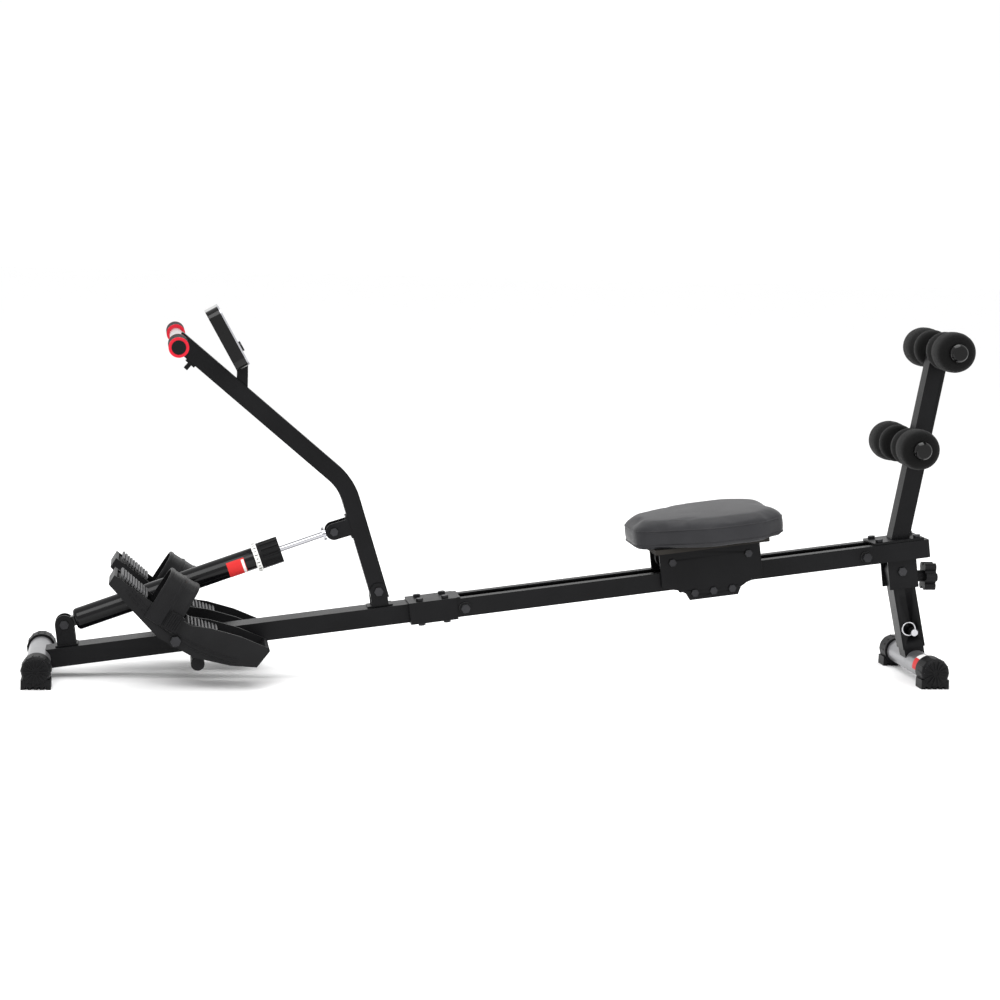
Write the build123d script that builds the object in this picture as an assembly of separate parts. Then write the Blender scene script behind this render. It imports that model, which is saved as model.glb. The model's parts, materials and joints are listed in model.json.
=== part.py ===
from build123d import *
import math
import os

# Rowing machine: a tilted beam and seat rail, a swinging row arm against a hydraulic cylinder,
# two pivoting foot pedals, a rolling seat carriage, a folding rear leg and a roller upright.
# Millimetres. +X runs to the rear, and the seated rower faces -X, with -Y at the left hand. +Z is up.
# Places along the beam are u (along it) and w (square to it), measured from the front stabiliser.

os.makedirs("parts", exist_ok=True)

# ---- driving dimensions ----
TILT = 7.5                     # slope of the beam and rail, degrees
STABILISER_Z = 34.0            # height of the front stabiliser's axis
STABILISER_R = 22.5
STABILISER_HALF = 128.0
CAP_R = 27.0
CAP_OUTER_Y = 147.0
CAP_INNER_Y = 100.0
FOOT_HEIGHT = 18.0
WALL = 2.0

BEAM_WIDTH = 60.0
RAIL_WIDTH = 80.0
BEAM_HEIGHT = 35.0
RAIL_WALL = 3.0
RAIL_LIP = 20.0
HALF_BEAM = BEAM_HEIGHT / 2
BEAM_END_U = 735.0
RAIL_START_U = 737.0
RAIL_END_U = 1700.0
SLEEVE_START_U = 692.0
SLEEVE_END_U = 782.0

PEDAL_AXLE_U = 254.7
PEDAL_AXLE_W = 27.0
PEDAL_TILT = 31.5              # toe above heel, degrees
PEDAL_Y = 110.0                # centre of each pedal
PEDAL_HALF_WIDTH = 52.0
AXLE_R = 8.0
REST_BAR_U = 289.0
REST_BAR_W = -24.0
REST_BAR_R = 9.5

CYLINDER_BASE_U = 54.0
CYLINDER_BASE_W = 57.4
CYLINDER_R = 20.5
CYLINDER_START = 21.0          # distances along the cylinder from its base pivot
CYLINDER_END = 371.0
ROD_R = 5.5
ROD_START = 150.0
ROD_FLANGE = 506.0
RING_R = 27.5
KNOB_R = 25.0
KNOB_END = 422.0

ARM_PIVOT_U = 639.8
ARM_PIVOT_W = 46.8
ARM_SIZE = 33.0
ARM_BEND = (-64.0, 202.0)      # from the arm's pivot, X and Z
ARM_HANDLE = (-381.0, 467.0)
ARM_CLEVIS = (-86.0, 112.0)
ARM_BEND_R = 105.0
HANDLE_R = 12.5
GRIP_R = 17.8
HANDLE_HALF = 302.0
GRIP_LENGTH = 124.0

CONSOLE_FOOT = (-260.0, 417.5)  # from the arm's pivot to the console's lower end
CONSOLE_LEAN = 29.3            # degrees from upright, away from the rower
CONSOLE_LENGTH = 122.0
CONSOLE_HALF_WIDTH = 62.0
CONSOLE_HALF_DEPTH = 13.0
BUTTON_HEIGHT = 34.0

CARRIAGE_U = 1272.0
CARRIAGE_INNER_Y = 43.0
CARRIAGE_PLATE = 4.0
UPPER_AXLE_W = 36.0
UPPER_AXLE_STEP = 74.0
UPPER_ROLLER_R = 18.2
LOWER_AXLE_W = -27.0
LOWER_AXLE_STEP = 36.5
LOWER_ROLLER_R = 9.2
ROLLER_AXLE_R = 4.0
SEAT_U = 1269.0
SEAT_BOTTOM_W = 70.0
SEAT_THICKNESS = 48.0
SEAT_HALF = 150.0
STOP_FRONT_U = 797.0
STOP_REAR_U = 1578.0

UPRIGHT_SIZE = 35.0
UPRIGHT_LEAN = 10.0            # degrees from vertical, to the rear
UPRIGHT_U = 1653.2             # where its centre line meets the rail's top
UPPER_ROLLER = (1702.0, 637.0)  # X and Z from the front stabiliser's floor point
LOWER_ROLLER = (1640.5, 452.0)
ROLLER_BAR_R = 11.0
FOAM_R = 38.5
FOAM_INNER_Y = 24.0
FOAM_OUTER_Y = 120.0

LEG_PIVOT_U = 1649.7
LEG_PIVOT_W = -40.7
LEG_LEAN = 12.2                # degrees from vertical, foot to the rear
LEG_SIZE = 44.0
INNER_LEG_SIZE = 39.0
LEG_LENGTH = 154.0
LEG_TO_STABILISER = 182.0
BRACKET_INNER_Y = 22.4
PIN_DROP = 120.0
STAR_KNOB_DROP = 12.0
STAR_KNOB_R = 29.0

# The model's origin is under the middle of its length, on the floor.
REAR_MOST = UPPER_ROLLER[0] + FOAM_R
ORIGIN_X = (REAR_MOST - CAP_R) / 2

BEAM = Pos(-ORIGIN_X, 0, STABILISER_Z) * Rot(0, -TILT, 0)


def beam_point(u, w):
    """The place (x, z) of a point given along and square to the beam."""
    angle = math.radians(TILT)
    x = u * math.cos(angle) - w * math.sin(angle) - ORIGIN_X
    z = u * math.sin(angle) + w * math.cos(angle) + STABILISER_Z
    return x, z


ARM_PIVOT = beam_point(ARM_PIVOT_U, ARM_PIVOT_W)
CYLINDER_BASE = beam_point(CYLINDER_BASE_U, CYLINDER_BASE_W)
CLEVIS_PIN = (ARM_PIVOT[0] + ARM_CLEVIS[0], ARM_PIVOT[1] + ARM_CLEVIS[1])
PEDAL_AXLE = beam_point(PEDAL_AXLE_U, PEDAL_AXLE_W)
LEG_PIVOT = beam_point(LEG_PIVOT_U, LEG_PIVOT_W)
HANDLE = (ARM_PIVOT[0] + ARM_HANDLE[0], ARM_PIVOT[1] + ARM_HANDLE[1])
CYLINDER_LENGTH = math.dist(CYLINDER_BASE, CLEVIS_PIN)
CYLINDER_ANGLE = math.degrees(
    math.atan2(CLEVIS_PIN[1] - CYLINDER_BASE[1], CLEVIS_PIN[0] - CYLINDER_BASE[0])
)

CYLINDER = Pos(CYLINDER_BASE[0], 0, CYLINDER_BASE[1]) * Rot(0, -CYLINDER_ANGLE, 0)
PEDAL = Pos(PEDAL_AXLE[0], 0, PEDAL_AXLE[1]) * Rot(0, PEDAL_TILT, 0)
LEG = Pos(LEG_PIVOT[0], 0, LEG_PIVOT[1]) * Rot(0, -LEG_LEAN, 0)
CONSOLE = Pos(ARM_PIVOT[0] + CONSOLE_FOOT[0], 0, ARM_PIVOT[1] + CONSOLE_FOOT[1]) * Rot(
    0, -CONSOLE_LEAN, 0
)
UPRIGHT_FOOT = beam_point(UPRIGHT_U, HALF_BEAM)
UPRIGHT = Pos(UPRIGHT_FOOT[0], 0, UPRIGHT_FOOT[1]) * Rot(0, UPRIGHT_LEAN, 0)


# ---- helpers ----
def save(node, *shapes):
    """Writes one node; several separate solids go in one compound."""
    solids = [solid for shape in shapes for solid in shape.solids()]
    export_step(Compound(solids) if len(solids) > 1 else solids[0], f"parts/{node}.step")


def block(x0, x1, y0, y1, z0, z1):
    size = Box(x1 - x0, y1 - y0, z1 - z0)
    return Pos((x0 + x1) / 2, (y0 + y1) / 2, (z0 + z1) / 2) * size


def rod_y(x, z, y0, y1, radius):
    return Pos(x, (y0 + y1) / 2, z) * Rot(90, 0, 0) * Cylinder(radius, y1 - y0)


def rod_x(x0, x1, radius, y=0, z=0):
    return Pos((x0 + x1) / 2, y, z) * Rot(0, 90, 0) * Cylinder(radius, x1 - x0)


def rod_z(x, y, z0, z1, radius):
    return Pos(x, y, (z0 + z1) / 2) * Cylinder(radius, z1 - z0)


def side_plate(points, y0, y1):
    """A plate whose outline lies in the XZ plane, from y0 to y1."""
    outline = Plane.XZ * make_face(Polyline(*points, close=True))
    return Pos(0, (y0 + y1) / 2, 0) * extrude(outline, (y1 - y0) / 2, both=True)


def both_sides(shape):
    """The shape and its mirror image across the middle plane."""
    return [shape, mirror(shape, about=Plane.XZ)]


def hex_bolt(x, z, y_under_head, head_height, head_r):
    """The hexagon head of a bolt along Y, on the side that y_under_head lies on."""
    direction = 1 if y_under_head > 0 else -1
    y_middle = y_under_head + direction * head_height / 2
    head = extrude(RegularPolygon(head_r, 6), head_height / 2, both=True)
    return Pos(x, y_middle, z) * Rot(90, 0, 0) * head


def through_bolt(x, z, half_grip, radius, head_r, head_height=5.0):
    """A bolt across the machine with a head at one end and a nut at the other."""
    bolt = rod_y(x, z, -half_grip, half_grip, radius)
    bolt += hex_bolt(x, z, -half_grip, head_height, head_r)
    bolt += hex_bolt(x, z, half_grip, head_height, head_r)
    return bolt


def clevis_ear(radius, drop, y0, y1, bore_r):
    """An upright ear, round about the origin above, with its base at -drop."""
    ear = rod_y(0, 0, y0, y1, radius) + block(-radius, radius, y0, y1, -drop, 0)
    return ear - rod_y(0, 0, y0 - 1, y1 + 1, bore_r)


# ---- front frame ----
def make_front_frame():
    stabiliser_tube = rod_y(0, 0, -STABILISER_HALF, STABILISER_HALF, STABILISER_R)
    bore = rod_y(0, 0, -STABILISER_HALF - 1, STABILISER_HALF + 1, STABILISER_R - WALL)
    save("front_stabiliser", Pos(-ORIGIN_X, 0, STABILISER_Z) * (stabiliser_tube - bore))

    half = BEAM_WIDTH / 2
    beam = block(4, BEAM_END_U, -half, half, -HALF_BEAM, HALF_BEAM)
    inside = block(0, BEAM_END_U + 1, WALL - half, half - WALL, WALL - HALF_BEAM, HALF_BEAM - WALL)
    beam = beam - inside - stabiliser_tube
    beam -= rod_y(REST_BAR_U, REST_BAR_W, -half - 1, half + 1, REST_BAR_R)
    save("front_beam", BEAM * beam)
    save("front_stabiliser_caps", *[Pos(-ORIGIN_X, 0, 0) * cap for cap in stabiliser_caps(STABILISER_Z)])


def stabiliser_caps(axis_z):
    """Domed end caps with a ribbed face and a toothed foot that stands on the floor."""
    cap = rod_y(0, axis_z, CAP_INNER_Y, CAP_OUTER_Y, CAP_R)
    cap = fillet(cap.edges().filter_by(GeomType.CIRCLE).sort_by(Axis.Y)[-1], 9)
    tooth_step = 11.0
    foot = block(-CAP_R, CAP_R, CAP_INNER_Y + 6, CAP_OUTER_Y - 4, 0, FOOT_HEIGHT)
    for tooth in range(-2, 3):
        gap_x = (tooth + 0.5) * tooth_step
        if tooth < 2:
            foot -= block(gap_x - 2.5, gap_x + 2.5, CAP_INNER_Y, CAP_OUTER_Y, -1, 5)
    cap += foot
    cap -= rod_y(0, axis_z, CAP_INNER_Y - 1, STABILISER_HALF, STABILISER_R)
    return both_sides(cap)


def make_cylinder_bracket():
    ear = clevis_ear(17.5, CYLINDER_BASE_W - HALF_BEAM - 3, 10.4, 15.4, 5.0)
    plate = block(-21, 21, -22, 22, HALF_BEAM - CYLINDER_BASE_W, HALF_BEAM - CYLINDER_BASE_W + 3)
    bracket = ear + mirror(ear, about=Plane.XZ) + plate
    bolt = through_bolt(CYLINDER_BASE_U, CYLINDER_BASE_W, 15.4, 5.0, 9.0)
    return BEAM * Pos(CYLINDER_BASE_U, 0, CYLINDER_BASE_W) * bracket, BEAM * bolt


def make_arm_bracket():
    inner = ARM_SIZE / 2 + 0.5
    base = HALF_BEAM - ARM_PIVOT_W
    ear = clevis_ear(16.0, -base - 3, inner, inner + 4, 5.0)
    plate = block(-24, 24, -inner - 4, inner + 4, base, base + 3)
    bracket = ear + mirror(ear, about=Plane.XZ) + plate
    bolt = through_bolt(ARM_PIVOT_U, ARM_PIVOT_W, inner + 4, 5.0, 9.0)
    return BEAM * Pos(ARM_PIVOT_U, 0, ARM_PIVOT_W) * bracket, BEAM * bolt


def make_pedal_supports():
    axle = rod_y(PEDAL_AXLE_U, PEDAL_AXLE_W, -168, 168, AXLE_R)
    save("pedal_axle", BEAM * axle)
    saddle = block(PEDAL_AXLE_U - 15, PEDAL_AXLE_U + 15, -28, 28, HALF_BEAM, PEDAL_AXLE_W + 5)
    nuts = [hex_bolt(PEDAL_AXLE_U, PEDAL_AXLE_W, side * 168, 6, 10) for side in (-1, 1)]

    save("pedal_rest_bar", BEAM * rod_y(REST_BAR_U, REST_BAR_W, -140, 140, REST_BAR_R))
    sleeve = rod_y(REST_BAR_U, REST_BAR_W, 70, 143, REST_BAR_R + 3)
    sleeve -= rod_y(REST_BAR_U, REST_BAR_W, 60, 140, REST_BAR_R)
    save("pedal_rest_sleeves", *[BEAM * piece for piece in both_sides(sleeve)])
    return BEAM * (saddle - axle), [BEAM * nut for nut in nuts]


# ---- joint between beam and rail ----
def make_joint_sleeve():
    half = RAIL_WIDTH / 2
    plate = 4.0
    cover = block(SLEEVE_START_U, SLEEVE_END_U, half, half + plate, -HALF_BEAM - 3, HALF_BEAM + 3)
    spacer = block(SLEEVE_START_U, RAIL_START_U - 1, BEAM_WIDTH / 2, half, -HALF_BEAM, HALF_BEAM)
    floor = block(SLEEVE_START_U, SLEEVE_END_U, -half, half, -HALF_BEAM - 3, -HALF_BEAM)
    sleeve = floor
    for side in both_sides(cover + spacer):
        sleeve += side
    top = block(SLEEVE_START_U, SLEEVE_END_U + 8, -half, half, HALF_BEAM, HALF_BEAM + 3)
    save("joint_sleeve", BEAM * sleeve, BEAM * top)
    bolts = []
    for u in (SLEEVE_START_U + 22, SLEEVE_END_U - 20):
        for y in (-26.0, 26.0):
            head = Pos(u, y, HALF_BEAM + 5.5) * extrude(RegularPolygon(7, 6), 2.5, both=True)
            nut = Pos(u, y, -HALF_BEAM - 6) * extrude(RegularPolygon(7, 6), 3, both=True)
            bolts += [head, nut]
    return [BEAM * bolt for bolt in bolts]


# ---- seat rail ----
def make_seat_rail():
    half = RAIL_WIDTH / 2
    slot = half - RAIL_LIP
    start, end = RAIL_START_U, RAIL_END_U
    rail = block(start, end, -half, half, -HALF_BEAM, HALF_BEAM)
    rail -= block(
        start - 1, end + 1, RAIL_WALL - half, half - RAIL_WALL, RAIL_WALL - HALF_BEAM, HALF_BEAM - RAIL_WALL
    )
    rail -= block(start - 1, end + 1, -slot, slot, 0, HALF_BEAM + 1)
    stops = [through_bolt(u, -2, half + 4, 5.0, 9.0) for u in (STOP_FRONT_U, STOP_REAR_U)]
    for u in (STOP_FRONT_U, STOP_REAR_U):
        rail -= rod_y(u, -2, -half - 1, half + 1, 5.0)
    save("seat_rail", BEAM * rail)

    bumpers = []
    for u in (STOP_FRONT_U, STOP_REAR_U):
        bumper = rod_y(u, -2, half, half + 4, 11.5) - rod_y(u, -2, half - 1, half + 5, 5.0)
        bumpers += both_sides(bumper)
    save("rail_stop_bumpers", *[BEAM * bumper for bumper in bumpers])

    cap = block(end, end + 4, -half, half, -HALF_BEAM, HALF_BEAM)
    plug = block(end - 12, end, RAIL_WALL - half, half - RAIL_WALL, RAIL_WALL - HALF_BEAM, 0)
    save("rail_end_cap", BEAM * (cap + plug))
    return [BEAM * bolt for bolt in stops]


# ---- seat carriage ----
def carriage_outline():
    """Side plate outline about the carriage's middle: wide at the top, with a narrower tab below."""
    return [
        (-98, 60), (98, 60), (98, -10), (66, -19), (54, -26), (47, -40),
        (-47, -40), (-54, -26), (-66, -19), (-98, -10),
    ]


def axle_places():
    upper = [(side * UPPER_AXLE_STEP, UPPER_AXLE_W) for side in (-1, 1)]
    lower = [(step * LOWER_AXLE_STEP, LOWER_AXLE_W) for step in (-1, 0, 1)]
    return upper, lower


def make_carriage():
    upper, lower = axle_places()
    outer = CARRIAGE_INNER_Y + CARRIAGE_PLATE
    place = BEAM * Pos(CARRIAGE_U, 0, 0)
    plate = side_plate(carriage_outline(), CARRIAGE_INNER_Y + 2, outer + 2)
    for u, w in upper + lower:
        plate -= rod_y(u, w, 0, 60, ROLLER_AXLE_R)
    bolts = [through_bolt(u, w, outer + 2, ROLLER_AXLE_R, 7.5, 4.0) for u, w in upper + lower]

    inner = CARRIAGE_INNER_Y + 2
    bridge = block(-95, 95, -inner, inner, 57, 61)
    save("carriage_frame", place * (bridge + plate + mirror(plate, about=Plane.XZ)))
    seat_shift = SEAT_U - CARRIAGE_U
    board = block(seat_shift - 110, seat_shift + 110, -95, 95, 61, SEAT_BOTTOM_W)
    save("seat_board", place * board)
    screws = [rod_z(u, y, 53.5, 57, 6) for u in (-40, 40) for y in (-28, 28)]
    save("carriage_bolts", *[place * bolt for bolt in bolts + screws])

    cushion_place = BEAM * Pos(SEAT_U, 0, SEAT_BOTTOM_W)
    save("seat_cushion", cushion_place * seat_cushion())

    for number, (u, w) in enumerate(upper, 1):
        wheels = []
        for wheel in both_sides(rod_y(u, w, 22, 38, UPPER_ROLLER_R)):
            wheels.append(wheel - rod_y(u, w, -60, 60, ROLLER_AXLE_R + 0.05))
        tube = rod_y(u, w, -22, 22, 9) - rod_y(u, w, -60, 60, ROLLER_AXLE_R + 0.05)
        save(f"upper_roller_{number}", place * (wheels[0] + wheels[1] + tube))
    for number, (u, w) in enumerate(lower, 1):
        roller = rod_y(u, w, -38, 38, LOWER_ROLLER_R) - rod_y(u, w, -60, 60, ROLLER_AXLE_R + 0.05)
        save(f"lower_roller_{number}", place * roller)


def seat_cushion():
    """Wide at the back of the thighs, narrow at the front, with rounded corners."""
    front_half, side_half, rear_half = 74.0, SEAT_HALF, 96.0
    corners = [
        (-SEAT_HALF, -front_half), (-12, -side_half), (92, -side_half), (SEAT_HALF, -rear_half),
        (SEAT_HALF, rear_half), (92, side_half), (-12, side_half), (-SEAT_HALF, front_half),
    ]
    outline = make_face(FilletPolyline(*corners, radius=24, close=True))
    cushion = extrude(outline, SEAT_THICKNESS)
    return fillet(cushion.edges().group_by(Axis.Z)[-1], 10)


# ---- row arm ----
def make_row_arm():
    pivot = Pos(ARM_PIVOT[0], 0, ARM_PIVOT[1])
    length_to_bend = math.hypot(*ARM_BEND)
    back = 16.0 / length_to_bend
    start = (-ARM_BEND[0] * back, 0, -ARM_BEND[1] * back)
    bend = (ARM_BEND[0], 0, ARM_BEND[1])
    end = (ARM_HANDLE[0], 0, ARM_HANDLE[1])
    path = FilletPolyline(start, bend, end, radius=ARM_BEND_R)
    section = Plane(origin=path @ 0, x_dir=(0, 1, 0), z_dir=path % 0)
    outer = sweep(section * Rectangle(ARM_SIZE, ARM_SIZE), path)
    inner = sweep(section * Rectangle(ARM_SIZE - 2 * WALL, ARM_SIZE - 2 * WALL), path)
    arm = outer - inner
    half = ARM_SIZE / 2
    bush_r = 8.0
    arm -= rod_y(0, 0, -half - 1, half + 1, bush_r)
    handle_hole = rod_y(end[0], end[2], -half - 1, half + 1, HANDLE_R)
    save("row_arm", pivot * (arm - handle_hole))
    bush = rod_y(0, 0, -half, half, bush_r) - rod_y(0, 0, -half - 1, half + 1, 5.05)
    save("arm_bush", pivot * bush)

    clevis_x, clevis_z = ARM_CLEVIS
    along = (ARM_BEND[0] / length_to_bend, ARM_BEND[1] / length_to_bend)
    away = (-along[1], along[0])
    reach = clevis_x * away[0] + clevis_z * away[1]
    foot_depth = reach - half
    arm_angle = math.degrees(math.atan2(away[1], away[0]))
    ear = rod_y(0, 0, 15, 19, 15.5) + block(-foot_depth, 0, 15, 19, -15.5, 15.5)
    ear -= rod_y(0, 0, 10, 24, 4)
    back_plate = block(-foot_depth, 3 - foot_depth, -19, 19, -22, 22)
    clevis = ear + mirror(ear, about=Plane.XZ) + back_plate
    place = pivot * Pos(clevis_x, 0, clevis_z) * Rot(0, -arm_angle, 0)
    half_bolts = []
    for side in (-1, 1):
        low, high = sorted((side * 15.0, side * 19.0))
        half_bolts.append(rod_y(0, 0, low, high, 4) + hex_bolt(0, 0, side * 19, 5, 8))
    save("clevis_bolt", *[place * piece for piece in half_bolts])
    return place * clevis


def make_handlebar():
    x, z = HANDLE
    save("handlebar_tube", rod_y(x, z, -HANDLE_HALF + 4, HANDLE_HALF - 4, HANDLE_R))
    grip_start = HANDLE_HALF - GRIP_LENGTH
    grip = rod_y(x, z, grip_start + 4, HANDLE_HALF - 4, GRIP_R)
    hole = rod_y(x, z, 0, HANDLE_HALF + 5, HANDLE_R)
    rings = []
    for y0 in (grip_start, HANDLE_HALF - 4):
        ring = rod_y(x, z, y0, y0 + 4, GRIP_R) - hole
        rings += both_sides(ring)
    save("grip_rings", *rings)
    plug = rod_y(x, z, HANDLE_HALF - 4, HANDLE_HALF + 1, HANDLE_R)
    save("grips", *both_sides(grip - hole), *both_sides(plug))

    upper_angle = math.degrees(math.atan2(ARM_HANDLE[1] - ARM_BEND[1], ARM_BEND[0] - ARM_HANDLE[0]))
    place = Pos(x, 0, z) * Rot(0, upper_angle, 0)
    under = -ARM_SIZE / 2
    clamp = block(38, 58, -14, 14, under - 4, under) + block(44, 52, -8, 8, under - 16, under - 4)
    return place * clamp


def make_console():
    depth, half = CONSOLE_HALF_DEPTH, CONSOLE_HALF_WIDTH
    shell = block(-depth, depth - 2, -half, half, 0, CONSOLE_LENGTH)
    shell = fillet(shell.edges().filter_by(Axis.X), 18)
    bezel = block(depth - 2, depth + 1, -half, half, 0, CONSOLE_LENGTH)
    bezel = fillet(bezel.edges().filter_by(Axis.X), 18)
    window = block(depth - 3, depth + 2, -42, 42, 54, 104)
    button_hole = rod_x(depth - 8, depth + 4, 10.4, z=BUTTON_HEIGHT)
    shell -= button_hole
    save("console_shell", CONSOLE * shell)
    save("console_bezel", CONSOLE * (bezel - window - button_hole))
    save("console_lens", CONSOLE * block(depth - 2, depth, -42, 42, 54, 104))
    save("console_button", CONSOLE * rod_x(depth - 5, depth + 5, 10, z=BUTTON_HEIGHT))

    foot_x = ARM_PIVOT[0] + CONSOLE_FOOT[0]
    foot_z = ARM_PIVOT[1] + CONSOLE_FOOT[1]
    rise = (ARM_HANDLE[1] - ARM_BEND[1]) / (ARM_BEND[0] - ARM_HANDLE[0])
    slope = math.atan(rise)
    line_z = ARM_PIVOT[1] + ARM_BEND[1] + rise * (ARM_PIVOT[0] + ARM_BEND[0] - foot_x)
    top_z = line_z + ARM_SIZE / 2 / math.cos(slope)
    lean = math.tan(math.radians(CONSOLE_LEAN))
    stem = [
        (foot_x - 10, top_z + 10 * rise), (foot_x + 10, top_z - 10 * rise),
        (foot_x + 10, foot_z + 10 * lean), (foot_x - 10, foot_z - 10 * lean),
    ]
    return side_plate(stem, -12, 12)


# ---- hydraulic cylinder ----
def make_cylinder():
    tube = rod_x(CYLINDER_START, CYLINDER_END, CYLINDER_R)
    tube = fillet(tube.edges().filter_by(GeomType.CIRCLE).sort_by(Axis.X)[0], 7)
    tube -= rod_x(CYLINDER_START + 20, CYLINDER_END - 14, 18)
    tube -= rod_x(CYLINDER_START + 10, KNOB_END + 10, ROD_R + 0.3)
    gland = rod_x(CYLINDER_END, KNOB_END - 2, 12) - rod_x(CYLINDER_END - 1, KNOB_END + 1, ROD_R + 0.3)
    save("cylinder_tube", CYLINDER * (tube + gland))
    eye = rod_y(0, 0, -9.8, 9.8, 14) + block(0, CYLINDER_START, -9.8, 9.8, -9, 9)
    eye -= rod_y(0, 0, -12, 12, 8)
    bush = rod_y(0, 0, -9.8, 9.8, 8) - rod_y(0, 0, -12, 12, 5.05)
    save("cylinder_eye", CYLINDER * eye, CYLINDER * bush)

    rod = rod_x(ROD_START + 16, CYLINDER_LENGTH - 9, ROD_R)
    flange = rod_x(ROD_FLANGE, ROD_FLANGE + 5, 13) - rod_x(ROD_FLANGE - 1, ROD_FLANGE + 6, ROD_R)
    piston = rod_x(ROD_START, ROD_START + 16, 17.6)
    save("piston_rod", CYLINDER * rod, CYLINDER * piston)
    rod_eye = rod_y(CYLINDER_LENGTH, 0, -8, 8, 10)
    save("rod_eye", CYLINDER * (rod_eye - rod), CYLINDER * flange)

    ring = rod_x(CYLINDER_END + 0.5, CYLINDER_END + 10, RING_R) - rod_x(0, 600, 12.3)
    save("dial_ring", CYLINDER * ring)
    knob = rod_x(CYLINDER_END + 10, KNOB_END, KNOB_R) - rod_x(0, 600, 12.3)
    flutes = 14
    for number in range(flutes):
        angle = math.tau * number / flutes
        y, z = KNOB_R * math.cos(angle), KNOB_R * math.sin(angle)
        knob -= rod_x(CYLINDER_END + 16, KNOB_END + 1, 2.6, y, z)
    save("resistance_knob", CYLINDER * knob)


# ---- pedals ----
PEDAL_UNDERSIDE = [(-156, 24), (-92, 5), (-30, -12), (45, -9), (109, 13), (151, 35)]
PEDAL_RIM = [(156, 77), (94, 67), (42, 52), (10, 38), (-60, 36), (-156, 44)]
PEDAL_SOLE = [(-150, 36), (-92, 17), (-30, 2), (45, 4), (109, 25), (145, 48), (145, 120), (-150, 120)]


def pedal_tray():
    width = PEDAL_HALF_WIDTH
    tray = side_plate(PEDAL_UNDERSIDE + PEDAL_RIM, -width, width)
    tray = fillet(tray.edges().filter_by(Axis.Y).sort_by(Axis.X)[-1], 5)
    tray -= side_plate(PEDAL_SOLE, 5 - width, width - 5)
    tray += rod_y(0, 0, -width, width, 13.5)
    tray += block(-146, -84, -42, 42, 18, 40) & side_plate(
        [(-146, 34), (-84, 14), (-84, 40), (-146, 50)], -42, 42
    )
    return tray - rod_y(0, 0, -width - 1, width + 1, AXLE_R + 0.08)


def pedal_strap():
    """A webbing arch over the foot, from one side wall to the other."""
    half, thickness = PEDAL_HALF_WIDTH + 0.4, 3.0
    low, shoulder, top = 8.0, 66.0, 96.0
    points = [(-half, low), (-half, shoulder), (-26, top), (26, top), (half, shoulder), (half, low)]
    outer = [(y * (half + thickness) / half, z + (thickness if z > low else 0)) for y, z in points]
    arch = make_face(Polyline(*outer, close=True)) - make_face(Polyline(*points, close=True))
    return Pos(-41, 0, 0) * extrude(Plane.YZ * arch, 30, both=True)


def pedal_buckle(side):
    y0 = side * (PEDAL_HALF_WIDTH + 3.4)
    y1 = side * (PEDAL_HALF_WIDTH + 10.4)
    return block(-34, -8, min(y0, y1), max(y0, y1), 12, 44)


def make_pedals():
    for name, side in (("left", -1), ("right", 1)):
        place = Pos(0, side * PEDAL_Y, 0) * PEDAL
        save(f"{name}_pedal", place * pedal_tray())
        save(f"{name}_strap", place * pedal_strap())
        save(f"{name}_buckle", place * pedal_buckle(side))


# ---- roller upright ----
def make_upright():
    half = UPRIGHT_SIZE / 2
    upper = Pos(UPPER_ROLLER[0] - ORIGIN_X, 0, UPPER_ROLLER[1])
    lower = Pos(LOWER_ROLLER[0] - ORIGIN_X, 0, LOWER_ROLLER[1])
    bar_half = FOAM_OUTER_Y + 2
    upper_bar = upper * rod_y(0, 0, -bar_half, bar_half, ROLLER_BAR_R)
    lower_bar = lower * rod_y(0, 0, -bar_half, bar_half, ROLLER_BAR_R)
    length = (UPPER_ROLLER[1] - UPRIGHT_FOOT[1]) / math.cos(math.radians(UPRIGHT_LEAN)) + 16
    tube = block(-half, half, -half, half, -20, length)
    tube -= block(WALL - half, half - WALL, WALL - half, half - WALL, -21, length - WALL)
    tube = UPRIGHT * tube - upper_bar - lower_bar
    plate_top = HALF_BEAM + 5
    tube -= BEAM * block(UPRIGHT_U - 60, UPRIGHT_U + 60, -40, 40, -60, plate_top)
    save("roller_bars", upper_bar, lower_bar)

    plate = block(UPRIGHT_U - 58, UPRIGHT_U + 42, -38, 38, HALF_BEAM, plate_top)
    save("roller_upright", tube, BEAM * plate)
    bolts = []
    for u in (UPRIGHT_U - 44, UPRIGHT_U + 31):
        for y in (-26, 26):
            head = extrude(RegularPolygon(7.5, 6), 2.5, both=True)
            bolts.append(Pos(u, y, plate_top + 2.5) * head)

    caps = []
    for place in (upper, lower):
        knob = Pos(0, bar_half, 0) * Sphere(18.5) & block(-20, 20, bar_half, bar_half + 13, -20, 20)
        caps += [place * piece for piece in both_sides(knob)]
    save("roller_end_caps", *caps)
    for level, place in (("upper", upper), ("lower", lower)):
        for name, side in (("left", -1), ("right", 1)):
            save(f"{level}_{name}_foam", place * foam_roller(side))
    return [BEAM * bolt for bolt in bolts]


def foam_roller(side):
    """A waisted foam sleeve, free to turn on its bar."""
    y0, y1 = FOAM_INNER_Y, FOAM_OUTER_Y
    waist = y0 + 30
    foam = rod_y(0, 0, y0, waist - 8, FOAM_R - 3) + rod_y(0, 0, waist - 8, waist + 8, FOAM_R - 8)
    foam += rod_y(0, 0, waist + 8, y1, FOAM_R)
    foam -= rod_y(0, 0, y0 - 1, y1 + 1, ROLLER_BAR_R + 0.3)
    return foam if side > 0 else mirror(foam, about=Plane.XZ)


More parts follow.
